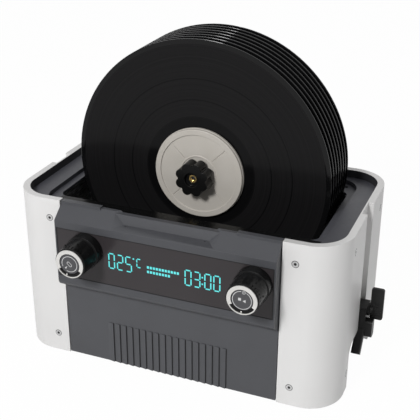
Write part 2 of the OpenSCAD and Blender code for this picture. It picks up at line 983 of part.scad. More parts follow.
// Lever: a thin upright fin with ribs, on a round stem with a disc
module drain_lever() {
    color([0.09, 0.09, 0.1])
        translate([half_w, channel_y, lever_z])
            difference() {
                union() {
                    bar_x(3, 4.5, 9.3 + seam);
                    bar_x(6, 9.3, 12.5);
                    drawn_y(-1.75, 1.75)
                        translate([16.45, lever_len / 2 - 11])
                            rounded(14.3, lever_len, 2.5);
                }
                for (s = [-1, 1], i = [0:6])
                    translate([0, s * 1.75, -6 + i * 2.8])
                        box([13.4, -0.5, -0.5], [22.4, 0.5, 0.5]);
            }
}

module guide_bushes() {
    color("brown")
        for (s = [-1, 1])
            translate([s * rod_x, rod_y, 0])
                difference() {
                    union() {
                        translate([0, 0, frame_z - 12])
                            cylinder(r = rod_r + 2.8, h = ledge_z - frame_z + 12 + seam);
                        translate([0, 0, ledge_z])
                            cylinder(r = rod_r + 4.5, h = 1.5);
                    }
                    translate([0, 0, frame_z - 13])
                        cylinder(r = rod_r + run, h = 60);
                }
}

// Front outline of the drive head
module head_outline(w, low, high, r) {
    translate([0, (low + high) / 2])
        rounded(w, high - low, r);
}

module drive_housing() {
    color([0.3, 0.3, 0.32])
        difference() {
            union() {
                drawn_y(head_front, head_back - 3)
                    head_outline(head_w, head_low, head_top, 10);
                box([-head_w / 2 + 2, head_front + 2.5, ledge_z + 1.5 + clear],
                        [head_w / 2 - 2, deck_back - 1, head_low + 12]);
            }
            difference() {
                drawn_y(head_front + head_t, head_back)
                    head_outline(head_w - 2 * head_t, head_low + head_t, head_top - head_t, 10 - head_t);
                for (x = [-plate_screw_x, plate_screw_x], z = [head_low + 21, head_top - 9])
                    translate([x, 0, z])
                        bar_y(4, head_front, plate_y);
                for (s = [-1, 1])
                    translate([s * rod_x, rod_y, 0])
                        cylinder(r = rod_r + 3, h = head_low + 13);
            }
            translate([0, 0, spindle_z])
                bar_y(6, head_front - 1, head_front + head_t + 1);
            for (s = [-1, 1])
                translate([s * rod_x, rod_y, 0])
                    cylinder(r = rod_r, h = head_low + 10);
            for (x = [-plate_screw_x, plate_screw_x], z = [head_low + 21, head_top - 9])
                translate([x, 0, z])
                    bar_y(1.3, head_front + head_t + 1, head_back);
        }
}

module drive_cover() {
    color([0.3, 0.3, 0.32])
        difference() {
            drawn_y(head_back - 3, head_back)
                head_outline(head_w, head_low, head_top, 10);
            for (i = [0:4])
                translate([0, 0, head_low + 18 + i * 5])
                    drawn_y(head_back - 4, head_back + 1)
                        rounded(36, 2.4, 1.1);
            for (x = [8 - head_w / 2, head_w / 2 - 8], z = [head_low + 8, head_top - 8])
                translate([x, 0, z])
                    bar_y(1.6, head_back - 4, head_back + 1);
        }
}

module guide_rods() {
    color("silver")
        for (s = [-1, 1])
            translate([s * rod_x, rod_y, head_low + 10 - lift - 52])
                cylinder(r = rod_r, h = lift + 52);
}

module motor_plate() {
    color("darkgray")
        difference() {
            drawn_y(plate_y, plate_y + plate_t) {
                translate([0, (head_low + head_top) / 2 + 5])
                    rounded(head_w - 16, head_top - head_low - 17, 3);
                translate([0, (head_low + head_top) / 2])
                    rounded(34, head_top - head_low - 12, 3);
            }
            translate([0, 0, spindle_z])
                bar_y(5.5, plate_y - 1, plate_y + plate_t + 1);
            translate([0, 0, motor_z])
                bar_y(4, plate_y - 1, plate_y + plate_t + 1);
            for (x = [-plate_screw_x, plate_screw_x], z = [head_low + 21, head_top - 9])
                translate([x, 0, z])
                    bar_y(1.5, plate_y - 1, plate_y + plate_t + 1);
        }
}

module gear_motor() {
    color("silver")
        translate([0, 0, motor_z])
            difference() {
                union() {
                    bar_y(motor_r, plate_y + plate_t, plate_y + plate_t + motor_len - 6);
                    bar_y(motor_r - 2.5, plate_y + plate_t + motor_len - 6 - seam, plate_y + plate_t + motor_len);
                    bar_y(3.9, plate_y, plate_y + plate_t + seam);
                }
                bar_y(2 + run, plate_y - 1, plate_y + plate_t + 8);
            }
}

// One tooth of an involute gear as points, centred on angle zero
function tooth(m, n, back, steps) =
    let (
        rp = m * n / 2,
        rb = rp * cos(20),
        ra = rp + 0.85 * m,
        rf = rp - 1.15 * m,
        tp = sqrt(pow(rp / rb, 2) - 1),
        at_pitch = tp * 180 / PI - atan(tp),
        half = (PI * m / 2 - back) / 2 / rp * 180 / PI,
        side = [for (i = [0:steps])
            let (
                r = rb + (ra - rb) * i / steps,
                t = sqrt(max(0, pow(r / rb, 2) - 1)))
            [r, half + at_pitch - (t * 180 / PI - atan(t))]])
    concat(
        [[rf, -side[0][1] - 0.6]],
        [for (i = [0:steps]) [side[i][0], -side[i][1]]],
        [for (i = [steps:-1:0]) side[i]],
        [[rf, side[0][1] + 0.6]]);

// Spur gear outline with teeth centred on multiples of the pitch angle
module gear_outline(m, n, back) {
    one = tooth(m, n, back, 3);
    polygon([for (i = [0:n - 1]) for (p = one)
        [p[0] * cos(p[1] + i * 360 / n), p[0] * sin(p[1] + i * 360 / n)]]);
}

module motor_pinion() {
    color("goldenrod")
        translate([0, 0, motor_z])
            union() {
                drawn_y(gear_y, gear_y + gear_w)
                    gear_outline(gear_module, pinion_teeth, 0.12);
                bar_y(2, gear_y + gear_w - seam, plate_y + plate_t + 7);
            }
}

module spindle_gear() {
    color("ivory")
        translate([0, 0, spindle_z])
            difference() {
                drawn_y(gear_y, gear_y + gear_w)
                    gear_outline(gear_module, gear_teeth, 0.12);
                bar_y(spindle_r, gear_y - 1, gear_y + gear_w + 1);
            }
}

// Flanged bearing bush round the spindle
module bush(outside, y0, y1, flange, flange_y0, flange_y1) {
    color("goldenrod")
        translate([0, 0, spindle_z])
            difference() {
                union() {
                    bar_y(outside, y0, y1);
                    bar_y(flange, flange_y0, flange_y1);
                }
                bar_y(spindle_r + run, y0 - 5, y1 + 5);
            }
}

module front_bush() {
    bush(6, head_front - 0.3, head_front + head_t + 1.2, 8, head_front + head_t, head_front + head_t + 1.2);
}

module rear_bush() {
    flange = gear_distance - motor_r - clear;
    bush(5.5, plate_y, plate_y + plate_t + 1.5, flange, plate_y + plate_t, plate_y + plate_t + 1.5);
}

module spindle() {
    color("silver")
        translate([0, 0, spindle_z])
            turned_y([
                [0, spindle_tip],
                [2.5, spindle_tip],
                [3, spindle_tip + 0.5],
                [3, star_seat + 3],
                [spindle_r, star_seat + 3.6],
                [spindle_r, plate_y + plate_t + 3],
                [0, plate_y + plate_t + 3]]);
}

// Clamp disc: raised rim, thin ring round the hub, four grooves, a stepped edge
module clamp_disc() {
    web = star_seat + 1.4;
    difference() {
        turned_y([
            [record_hole_r, star_seat],
            [12.6, star_seat],
            [12.8, web],
            [20, web],
            [20.1, web - 0.9],
            [21.1, web - 0.9],
            [21.4, web],
            [clamp_r - 7.4, web],
            [clamp_r - 7.2, star_seat],
            [clamp_r - 1.4, star_seat],
            [clamp_r - 0.8, star_seat + 0.7],
            [clamp_r - 0.8, star_seat + 2.9],
            [clamp_r, star_seat + 3.2],
            [clamp_r, clamp_seat],
            [record_hole_r, clamp_seat]]);
        for (a = [45:90:359])
            rotate([0, a, 0])
                box([23, web - 0.4, -0.4], [clamp_r - 9, web + 0.9, 0.4]);
    }
}

module front_clamp() {
    color([0.72, 0.7, 0.66])
        translate([0, 0, spindle_z])
            clamp_disc();
}

module rear_clamp() {
    seat = stack_back + record_t / 2;
    color([0.72, 0.7, 0.66])
        translate([0, 0, spindle_z])
            union() {
                difference() {
                    bar_y(clamp_r, seat, seat + clamp_t);
                    bar_y(spindle_r, seat - 1, seat + clamp_t + 1);
                }
                difference() {
                    bar_y(8, seat + clamp_t - seam, head_front - 0.6);
                    bar_y(spindle_r, seat - 1, head_front);
                }
            }
}

module spacers() {
    color([0.6, 0.59, 0.56])
        for (i = [0:record_count - 2])
            translate([0, record_front_y + i * record_pitch, spindle_z])
                difference() {
                    bar_y(clamp_r - 0.8, record_t / 2, record_pitch - record_t / 2);
                    bar_y(record_hole_r, 0, record_pitch);
                }
}

// Pressed record: bead at the edge, thinner grooved land, thicker label
module record(i) {
    if (i <= record_count)
        color([0.07, 0.07, 0.07])
            translate([0, record_front_y + (i - 1) * record_pitch, spindle_z])
                turned_y(let (h = record_t / 2, land = record_t / 2 - 0.25) [
                    [record_hole_r, -h],
                    [50, -h],
                    [51, -land],
                    [record_r - 6, -land],
                    [record_r - 4.5, -h + 0.05],
                    [record_r - 0.6, -h + 0.05],
                    [record_r, -h + 0.5],
                    [record_r, h - 0.5],
                    [record_r - 0.6, h - 0.05],
                    [record_r - 4.5, h - 0.05],
                    [record_r - 6, land],
                    [51, land],
                    [50, h],
                    [record_hole_r, h]]);
}

// Lobed hand knob with a hub against the clamp
module star_knob() {
    lobe = star_r * 0.29;
    color([0.08, 0.08, 0.09])
        translate([0, 0, spindle_z])
            difference() {
                union() {
                    drawn_y(star_seat - star_len, star_seat - 3)
                        difference() {
                            union() {
                                circle(r = star_r - lobe * 0.6);
                                for (a = [0:360 / star_lobes:359])
                                    rotate(a + 90 + 180 / star_lobes)
                                        translate([star_r - lobe, 0])
                                            circle(r = lobe);
                            }
                        }
                    bar_y(star_r * 0.6, star_seat - 3 - seam, star_seat);
                }
                bar_y(4.5, star_seat - star_len - 1, star_seat + 1);
                bar_y(star_r * 0.42, star_seat - star_len - 1, brass_front - 0.8);
            }
}

module star_insert() {
    color("gold")
        translate([0, 0, spindle_z])
            difference() {
                bar_y(4.5, brass_front, star_seat);
                bar_y(3 + run, brass_front - 1, star_seat + 1);
            }
}

left_shell();
right_shell();
cabinet_screws();
front_panel();
console();
display_window();
display_board();
digit_module();
knob_carrier(knob_left_x);  // left_knob_carrier
knob_carrier(knob_right_x);  // right_knob_carrier
knob_boards();
knob(knob_left_x, 28);  // left_knob
knob(knob_right_x, 4);  // right_knob
knob_ring(knob_left_x);  // left_knob_ring
knob_ring(knob_right_x);  // right_knob_ring
button(knob_left_x);  // left_button
button(knob_right_x);  // right_button
top_frame();
splash_strip();
tank();
chassis();
base_pan();
feet();
transducers();
heater_pads();
generator_board();
power_supply();
rear_panel();
power_inlet();
power_switch_body();
power_switch_rocker();
fan_frame();
fan_rotor();
drain_pipe();
drain_valve_body();
drain_lever();
guide_bushes();
drive_housing();
drive_cover();
guide_rods();
motor_plate();
gear_motor();
motor_pinion();
front_bush();
rear_bush();
spindle();
spindle_gear();
rear_clamp();
spacers();
record(1);  // record_1
record(2);  // record_2
record(3);  // record_3
record(4);  // record_4
record(5);  // record_5
record(6);  // record_6
record(7);  // record_7
record(8);  // record_8
front_clamp();
star_knob();
star_insert();
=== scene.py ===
import json
import math

import bpy
from mathutils import Matrix, Vector

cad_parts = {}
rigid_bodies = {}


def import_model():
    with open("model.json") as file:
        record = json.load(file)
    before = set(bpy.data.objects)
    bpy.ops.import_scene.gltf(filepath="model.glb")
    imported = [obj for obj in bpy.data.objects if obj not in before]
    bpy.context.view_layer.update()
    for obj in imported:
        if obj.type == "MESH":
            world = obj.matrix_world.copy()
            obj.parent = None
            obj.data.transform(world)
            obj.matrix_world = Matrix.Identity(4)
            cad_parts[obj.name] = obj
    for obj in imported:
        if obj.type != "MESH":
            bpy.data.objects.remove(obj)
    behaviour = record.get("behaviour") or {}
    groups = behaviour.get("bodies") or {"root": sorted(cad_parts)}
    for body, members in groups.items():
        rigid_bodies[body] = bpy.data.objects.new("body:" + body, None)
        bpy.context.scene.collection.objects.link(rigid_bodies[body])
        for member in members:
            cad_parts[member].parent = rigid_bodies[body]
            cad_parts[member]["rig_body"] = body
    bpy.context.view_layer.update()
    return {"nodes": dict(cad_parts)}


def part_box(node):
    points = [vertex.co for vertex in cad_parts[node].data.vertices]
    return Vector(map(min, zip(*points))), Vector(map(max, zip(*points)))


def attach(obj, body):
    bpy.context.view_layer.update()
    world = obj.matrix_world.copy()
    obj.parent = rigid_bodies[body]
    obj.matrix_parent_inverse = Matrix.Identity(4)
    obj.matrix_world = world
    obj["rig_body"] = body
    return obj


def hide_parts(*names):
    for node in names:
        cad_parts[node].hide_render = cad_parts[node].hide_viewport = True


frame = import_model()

NODES = frame["nodes"]
MM = 0.001

# Places on the machine, in millimetres

LEFT_KNOB_X = -88.0
RIGHT_KNOB_X = 104.0
KNOB_Z = 153.7
KNOB_FACE_Y = -158.45
GLINT_PIP_R = 13.7
SPINDLE_Z = 216.1
WINDOW_Z = 143.8
WINDOW_HALF_WIDTH = 124.5
WINDOW_HALF_HEIGHT = 29.25
RIB_PITCH = 8.05
RIB_COUNT = 18
RIB_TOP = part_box("front_panel")[0][2] / MM + 52.0
SHELL_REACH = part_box("right_shell")[1]
SHELL_CORNER = 41.0 * MM
SHELL_WALL = 8.0
SHELL_SIDE_X = 191.5
SHELL_END_Y = 107.0
SHELL_SCREW_ROWS = (25.0, 175.0)
SIDE_SCREW_Y = 58.5
END_SCREW_X = 141.3
REAR_PANEL_Y = 106.0
REAR_SCREW_X = 118.0
REAR_SCREW_ROWS = (18.0, 100.0, 174.0)


# Shader maths

class Wire:
    """One output of a material's nodes, on which arithmetic adds Math nodes."""

    def __init__(self, finish, socket):
        self.finish = finish
        self.socket = socket

    def _math(self, operation, *values):
        return self.finish.node("ShaderNodeMath", {"operation": operation}, dict(enumerate(values)))

    def __add__(self, other):
        return self._math("ADD", self, other)

    def __radd__(self, other):
        return self._math("ADD", other, self)

    def __sub__(self, other):
        return self._math("SUBTRACT", self, other)

    def __rsub__(self, other):
        return self._math("SUBTRACT", other, self)

    def __mul__(self, other):
        return self._math("MULTIPLY", self, other)

    def __rmul__(self, other):
        return self._math("MULTIPLY", other, self)

    def __truediv__(self, other):
        return self._math("DIVIDE", self, other)

    def sine(self):
        return self._math("SINE", self)

    def root(self):
        return self._math("SQRT", self)

    def size(self):
        return self._math("ABSOLUTE", self)

    def wave(self):
        return self._math("FRACT", self)

    def larger(self, other):
        return self._math("MAXIMUM", self, other)

    def smaller(self, other):
        return self._math("MINIMUM", self, other)

    def clamped(self):
        return self.finish.node("ShaderNodeClamp", {}, {0: self, 1: 0.0, 2: 1.0})

    def band(self, low, high):
        """Goes smoothly from 0 at low to 1 at high."""
        return self.finish.node("ShaderNodeMapRange", {"interpolation_type": "SMOOTHSTEP"},
                                {0: self, 1: low, 2: high, 3: 0.0, 4: 1.0})


class Finish:
    """A material with one Principled surface."""

    def __init__(self, name, colour, roughness, metallic=0.0, **sockets):
        self.material = bpy.data.materials.new(name)
        self.material.use_nodes = True
        self.tree = self.material.node_tree
        self.tree.nodes.clear()
        self.output = self.tree.nodes.new("ShaderNodeOutputMaterial")
        self.surface = self.tree.nodes.new("ShaderNodeBsdfPrincipled")
        self.tree.links.new(self.surface.outputs[0], self.output.inputs[0])
        self.set("Base Color", (*colour, 1.0))
        self.set("Roughness", roughness)
        self.set("Metallic", metallic)
        for socket, value in sockets.items():
            self.set(socket.replace("_", " "), value)

    def node(self, kind, settings, values, out=0):
        made = self.tree.nodes.new(kind)
        for key, value in settings.items():
            setattr(made, key, value)
        for key, value in values.items():
            if isinstance(value, Wire):
                self.tree.links.new(value.socket, made.inputs[key])
            else:
                made.inputs[key].default_value = value
        return Wire(self, made.outputs[out])

    def set(self, socket, value):
        target = self.surface.inputs[socket]
        if isinstance(value, Wire):
            self.tree.links.new(value.socket, target)
        else:
            target.default_value = value

    def place(self):
        return self.node("ShaderNodeTexCoord", {}, {}, "Object")

    def axes(self):
        split = self.node("ShaderNodeSeparateXYZ", {}, {0: self.place()})
        made = split.socket.node
        return [Wire(self, made.outputs[i]) for i in range(3)]

    def noise(self, scale, detail=3.0, at=None):
        return self.node("ShaderNodeTexNoise", {}, {"Vector": at or self.place(), "Scale": scale,
                                                    "Detail": detail, "Roughness": 0.55})

    def stretched(self, factors):
        return self.node("ShaderNodeMapping", {}, {"Vector": self.place(), "Scale": factors})

    def blend(self, factor, low, high):
        """A colour that varies between two."""
        return self.mixed(factor, (*low, 1.0), high)

    def mixed(self, factor, ground, colour):
        """Another colour laid over a varied one."""
        return self.node("ShaderNodeMix", {"data_type": "RGBA"},
                         {"Factor": factor, 6: ground, 7: (*colour, 1.0)}, 2)

    def bump(self, height, strength, distance=0.0005):
        self.set("Normal", self.node("ShaderNodeBump", {}, {"Strength": strength, "Distance": distance,
                                                            "Height": height}))


def shade(level, tint=(1.0, 1.0, 1.0)):
    return tuple(level * t for t in tint)


# Finishes

def shell_silver():
    """Silver lacquer outside, with painted shade on the inner face of the wall."""
    f = Finish("shell_silver", (0.70, 0.695, 0.69), 0.4, 0.2, Specular_IOR_Level=0.35)
    x, y, z = f.axes()
    over_x = (x.size() - (SHELL_REACH[0] - SHELL_CORNER)).larger(0.0)
    over_y = (y.size() - (SHELL_REACH[1] - SHELL_CORNER)).larger(0.0)
    inset = (SHELL_CORNER - (over_x * over_x + over_y * over_y).root()) / MM
    inner_shade = inset.band(SHELL_WALL - 0.45, SHELL_WALL - 0.15)
    lacquer = f.blend(f.noise(9.0, 2.0), (0.65, 0.645, 0.64), (0.71, 0.705, 0.70))
    # painted shade: the inner face of the wall is darkened to near black
    f.set("Base Color", f.mixed(inner_shade, lacquer, (0.030, 0.030, 0.033)))
    f.set("Roughness", 0.36 + f.noise(60.0, 4.0) * 0.12)
    f.bump(f.noise(2600.0, 2.0), 0.10, 0.0002)
    return f.material


def moulded_grey(name="moulded_grey", low=(0.058, 0.059, 0.065), high=(0.070, 0.072, 0.079), grain=0.3):
    f = Finish(name, low, 0.42, Specular_IOR_Level=0.3)
    f.set("Base Color", f.blend(f.noise(30.0, 4.0), low, high))
    f.set("Roughness", 0.36 + f.noise(220.0, 3.0) * 0.14)
    f.bump(f.noise(1300.0, 3.0), grain, 0.0003)
    return f.material


def ribbed_grey():
    """The front panel's grey, with painted shade in the narrow flat beside each ridge."""
    f = Finish("panel_grey", (0.058, 0.059, 0.065), 0.42, Specular_IOR_Level=0.3)
    x, y, z = f.axes()
    reach = RIB_PITCH * (RIB_COUNT - 1) / 2
    phase = (x / MM + (reach - 0.5)) * (math.pi / RIB_PITCH)
    rib_shade = 1.0 - phase.sine().size().band(0.17, 0.24)
    rib_shade = rib_shade * (1.0 - (x.size() / MM).band(reach + 1.2, reach + 1.8))
    rib_shade = rib_shade * (1.0 - (z / MM).band(RIB_TOP - 0.4, RIB_TOP))
    ground = f.blend(f.noise(30.0, 4.0), (0.058, 0.059, 0.065), (0.070, 0.072, 0.079))
    # painted shade between the ridges, laid over the grey
    f.set("Base Color", f.mixed(rib_shade, ground, (0.012, 0.012, 0.013)))
    f.set("Roughness", 0.36 + f.noise(220.0, 3.0) * 0.14)
    f.bump(f.noise(1300.0, 3.0), 0.3, 0.0003)
    return f.material


def smoked_window():
    f = Finish("smoked_window", (0.030, 0.026, 0.028), 0.2, Specular_IOR_Level=0.26)
    x, y, z = f.axes()
    edge = (x.size() - WINDOW_HALF_WIDTH * MM).larger((z - WINDOW_Z * MM).size() - WINDOW_HALF_HEIGHT * MM)
    border = (edge / MM).band(-0.95, -0.65)
    pane = f.blend(f.noise(14.0, 2.0), (0.027, 0.023, 0.025), (0.036, 0.032, 0.034))
    f.set("Base Color", f.mixed(border, pane, (0.003, 0.003, 0.003)))
    f.set("Roughness", 0.18 + f.noise(45.0, 5.0).band(0.5, 0.8) * 0.10 + border * 0.4)
    f.bump(f.noise(120.0, 1.0), 0.02, 0.0002)
    return f.material


def pressed_vinyl():
    f = Finish("pressed_vinyl", (0.006, 0.006, 0.0065), 0.2, Specular_IOR_Level=0.06, Coat_Roughness=0.10)
    x, y, z = f.axes()
    rise = z - SPINDLE_Z * MM
    radius = (x * x + rise * rise).root() / MM
    rings = f.node("ShaderNodeTexNoise", {"noise_dimensions": "1D"},
                   {"W": radius * 0.55, "Scale": 1.0, "Detail": 3.0})
    grooved = radius.band(63.0, 66.0) * (1.0 - radius.band(144.6, 145.6))
    gap = 0.0
    for place in (84.0, 107.5):
        gap = (1.0 - ((radius - place).size()).band(0.4, 0.9)) + gap
    land = (grooved - gap).clamped()
    groove = (radius * (2 * math.pi / 0.9)).sine()
    f.set("Roughness", 0.12 + land * (0.12 + rings * 0.16))
    f.set("Base Color", f.blend(land * rings, (0.0035, 0.0035, 0.0038), (0.011, 0.0105, 0.011)))
    f.set("Coat Weight", 0.06 + radius.band(144.6, 146.0) * 0.22)
    f.bump((groove * 0.5 + rings * 1.6) * land + radius.band(50.4, 51.4) * 0.6, 0.12, 0.00012)
    return f.material


def clamp_plastic():
    f = Finish("clamp_plastic", (0.42, 0.395, 0.355), 0.5)
    f.set("Base Color", f.blend(f.noise(45.0, 4.0), (0.40, 0.375, 0.335), (0.46, 0.435, 0.40)))
    f.set("Roughness", 0.42 + f.noise(160.0, 3.0) * 0.14)
    f.bump(f.noise(1500.0, 3.0), 0.12, 0.0002)
    return f.material


def gloss_black(name="gloss_black", rough=0.20, level=0.005, gloss=0.14):
    f = Finish(name, shade(level), rough, Specular_IOR_Level=gloss)
    f.set("Base Color", f.blend(f.noise(60.0, 3.0), shade(level * 0.8), shade(level * 1.4, (1.0, 1.0, 1.05))))
    f.set("Roughness", rough + f.noise(140.0, 5.0).band(0.45, 0.8) * 0.14)
    f.bump(f.noise(700.0, 2.0), 0.05, 0.0002)
    return f.material


def satin_black(name="satin_black", rough=0.34, level=0.011, gloss=0.2):
    f = Finish(name, shade(level), rough, Specular_IOR_Level=gloss)
    f.set("Base Color", f.blend(f.noise(50.0, 3.0), shade(level * 0.8), shade(level * 1.4)))
    f.set("Roughness", rough + f.noise(200.0, 3.0) * 0.16)
    f.bump(f.noise(1600.0, 3.0), 0.20, 0.0003)
    return f.material


def turned_silver():
    f = Finish("turned_silver", (0.64, 0.63, 0.61), 0.3, 0.5)
    f.set("Base Color", f.blend(f.noise(80.0, 2.0), (0.58, 0.57, 0.55), (0.68, 0.67, 0.65)))
    f.set("Roughness", 0.26 + f.noise(900.0, 3.0) * 0.16)
    f.bump(f.noise(2500.0, 2.0), 0.08, 0.0001)
    return f.material


def button_face(name, x, ring, gap, marks):
    """Grey push button with a printed ring, open at one place, and printed marks."""
    f = Finish(name, (0.058, 0.058, 0.062), 0.34, Specular_IOR_Level=0.3)
    place = f.axes()
    across, up = (place[0] - x * MM) / MM, (place[2] - KNOB_Z * MM) / MM
    radius = (across * across + up * up).root()
    away = ((across - gap[0]) * (across - gap[0]) + (up - gap[1]) * (up - gap[1])).root()
    print_mask = (1.0 - (radius - ring).size().band(0.22, 0.42)) * away.band(gap[2], gap[2] + 0.4)
    for mark in marks(across, up):
        print_mask = print_mask.larger(1.0 - mark.band(-0.12, 0.12))
    ground = f.blend(f.noise(90.0, 3.0), (0.050, 0.050, 0.054), (0.066, 0.066, 0.070))
    f.set("Base Color", f.mixed(print_mask, ground, (0.52, 0.52, 0.52)))
    f.set("Roughness", 0.28 + f.noise(260.0, 3.0) * 0.12 + print_mask * 0.15)
    f.bump(f.noise(1800.0, 3.0), 0.14, 0.0002)
    return f.material


def turned(across, up, x, z, angle):
    """Coordinates about a mark's own middle, turned by an angle."""
    c, s = math.cos(math.radians(angle)), math.sin(math.radians(angle))
    return (across - x) * c + (up - z) * s, (up - z) * c - (across - x) * s


def pill_and_drop(across, up):
    """A tilted pill outline in the middle and a drop at the lower left."""
    u, v = turned(across, up, 0.0, 0.0, -45.0)
    reach = (u.size() - 1.6).larger(0.0)
    pill = ((reach * reach + v * v).root() - 1.5).size() - 0.3
    u, v = turned(across, up, -4.6, -5.0, 48.0)
    drop = ((u * u + v * v).root() - 0.95).smaller(((u - 1.4).size() - 1.2).larger(v.size() - 0.35))
    return [pill, drop]


def stop_and_play(across, up):
    """A square and a triangle side by side, with a small circle above."""
    u, v = turned(across, up, -2.4, 0.9, 0.0)
    stop = u.size().larger(v.size()) - 1.5
    u, v = turned(across, up, 2.4, -0.5, 0.0)
    play = (u - 1.5).larger((-1.0 * u) * 0.55 + v.size() - 0.9)
    u, v = turned(across, up, 1.9, 9.0, 0.0)
    away = (u * u + v * v).root()
    circle = ((away - 1.6).size() - 0.22).smaller(away - 0.5)
    return [stop, play, circle]


def tank_steel():
    f = Finish("tank_steel", (0.55, 0.55, 0.56), 0.25, 1.0)
    drawn = f.noise(1.0, 4.0, f.stretched((40.0, 40.0, 900.0)))
    f.set("Base Color", f.blend(drawn, (0.47, 0.47, 0.48), (0.62, 0.62, 0.63)))
    f.set("Roughness", 0.20 + drawn * 0.16)
    f.bump(drawn, 0.10, 0.0002)
    return f.material


def plain_steel(name="plain_steel", low=(0.42, 0.42, 0.43), high=(0.56, 0.56, 0.57)):
    f = Finish(name, low, 0.38, 1.0)
    f.set("Base Color", f.blend(f.noise(25.0, 4.0), low, high))
    f.set("Roughness", 0.30 + f.noise(300.0, 4.0) * 0.2)
    f.bump(f.noise(1200.0, 3.0), 0.10, 0.0002)
    return f.material


def polished_rod():
    f = Finish("polished_rod", (0.66, 0.66, 0.67), 0.12, 1.0)
    f.set("Base Color", f.blend(f.noise(30.0, 2.0), (0.62, 0.62, 0.63), (0.72, 0.72, 0.73)))
    f.set("Roughness", 0.08 + f.noise(1.0, 3.0, f.stretched((900.0, 900.0, 60.0))) * 0.12)
    f.bump(f.noise(1.0, 2.0, f.stretched((1500.0, 1500.0, 120.0))), 0.04, 0.0001)
    return f.material


def bright_brass():
    f = Finish("bright_brass", (0.72, 0.50, 0.18), 0.22, 1.0)
    f.set("Base Color", f.blend(f.noise(300.0, 3.0), (0.62, 0.42, 0.13), (0.80, 0.60, 0.26)))
    f.set("Roughness", 0.16 + f.noise(500.0, 3.0) * 0.2)
    f.bump(f.noise(1500.0, 2.0), 0.10, 0.0002)
    return f.material


def sintered_bronze():
    f = Finish("sintered_bronze", (0.38, 0.24, 0.12), 0.4, 0.9)
    f.set("Base Color", f.blend(f.noise(900.0, 4.0), (0.28, 0.17, 0.08), (0.46, 0.31, 0.16)))
    f.set("Roughness", 0.36 + f.noise(700.0, 3.0) * 0.2)
    f.bump(f.noise(2200.0, 3.0), 0.25, 0.0002)
    return f.material


def black_rubber():
    f = Finish("black_rubber", shade(0.02), 0.8)
    f.set("Base Color", f.blend(f.noise(120.0, 4.0), shade(0.016), shade(0.032)))
    f.set("Roughness", 0.72 + f.noise(300.0, 3.0) * 0.2)
    f.bump(f.noise(900.0, 3.0), 0.3, 0.0003)
    return f.material


def green_board():
    f = Finish("green_board", (0.01, 0.08, 0.03), 0.4)
    tracks = f.node("ShaderNodeTexVoronoi", {"feature": "DISTANCE_TO_EDGE"},
                    {"Vector": f.place(), "Scale": 260.0})
    line = 1.0 - tracks.band(0.02, 0.06)
    f.set("Base Color", f.blend(line, (0.008, 0.07, 0.028), (0.02, 0.16, 0.06)))
    f.set("Roughness", 0.45 - line * 0.15)
    f.bump(line, 0.3, 0.0002)
    return f.material


def heater_film():
    f = Finish("heater_film", (0.5, 0.16, 0.03), 0.5)
    x, y, z = f.axes()
    trace = ((z * (1.0 / (6 * MM))).wave() - 0.5).size().band(0.22, 0.28)
    f.set("Base Color", f.blend(trace, (0.46, 0.15, 0.03), (0.30, 0.08, 0.02)))
    f.set("Roughness", 0.42 + f.noise(90.0, 3.0) * 0.2)
    f.bump(trace, 0.25, 0.0003)
    return f.material


def nylon_gear():
    f = Finish("nylon_gear", (0.68, 0.65, 0.55), 0.45)
    f.set("Base Color", f.blend(f.noise(120.0, 3.0), (0.62, 0.59, 0.49), (0.72, 0.69, 0.60)))
    f.set("Roughness", 0.40 + f.noise(300.0, 3.0) * 0.15)
    f.bump(f.noise(1500.0, 2.0), 0.10, 0.0002)
    return f.material


def rocker_red():
    f = Finish("rocker_red", (0.32, 0.01, 0.012), 0.25)
    f.set("Base Color", f.blend(f.noise(150.0, 3.0), (0.27, 0.008, 0.01), (0.38, 0.016, 0.018)))
    f.set("Roughness", 0.2 + f.noise(260.0, 4.0) * 0.2)
    f.bump(f.noise(1200.0, 2.0), 0.08, 0.0002)
    return f.material


def lit_cyan():
    f = Finish("lit_cyan", (0.02, 0.42, 0.42), 0.4)
    glow = f.noise(260.0, 2.0)
    f.set("Emission Color", f.blend(glow, (0.04, 0.56, 0.58), (0.17, 0.80, 0.80)))
    f.set("Base Color", f.blend(glow, (0.01, 0.10, 0.10), (0.02, 0.14, 0.14)))
    f.set("Emission Strength", 1.0)
    return f.material


# near black for the painted shade in the screw sockets and the painted shadow round the screw heads
def shade_black():
    f = Finish("shade_black", shade(0.006), 0.6)
    f.set("Base Color", f.blend(f.noise(200.0, 2.0), shade(0.004), shade(0.010)))
    f.set("Roughness", 0.5 + f.noise(200.0, 2.0) * 0.3)
    return f.material


SILVER = shell_silver()
GREY = moulded_grey()
PANEL = ribbed_grey()
CONSOLE = moulded_grey("console_grey", (0.050, 0.051, 0.057), (0.062, 0.064, 0.071), 0.5)
DECK = moulded_grey("deck_grey", (0.048, 0.049, 0.058), (0.062, 0.063, 0.073), 0.16)
WINDOW = smoked_window()
VINYL = pressed_vinyl()
CLAMP = clamp_plastic()
GLOSS = gloss_black()
STRIP = gloss_black("splash_black", 0.2, 0.004, 0.1)
SATIN = satin_black()
RING = turned_silver()
LEFT_FACE = button_face("left_button_face", LEFT_KNOB_X, 8.8, (-6.4, -6.4, 3.0), pill_and_drop)
RIGHT_FACE = button_face("right_button_face", RIGHT_KNOB_X, 9.9, (1.9, 9.4, 2.6), stop_and_play)
STAR = satin_black("star_black", 0.10, 0.005, 0.09)
TANK = tank_steel()
STEEL = plain_steel()
SCREW = plain_steel("screw_steel", (0.50, 0.50, 0.50), (0.66, 0.66, 0.66))
ROD = polished_rod()
BRASS = bright_brass()
BRONZE = sintered_bronze()
RUBBER = black_rubber()
BOARD = green_board()
FILM = heater_film()
NYLON = nylon_gear()
RED = rocker_red()
CYAN = lit_cyan()
SHADE_BLACK = shade_black()

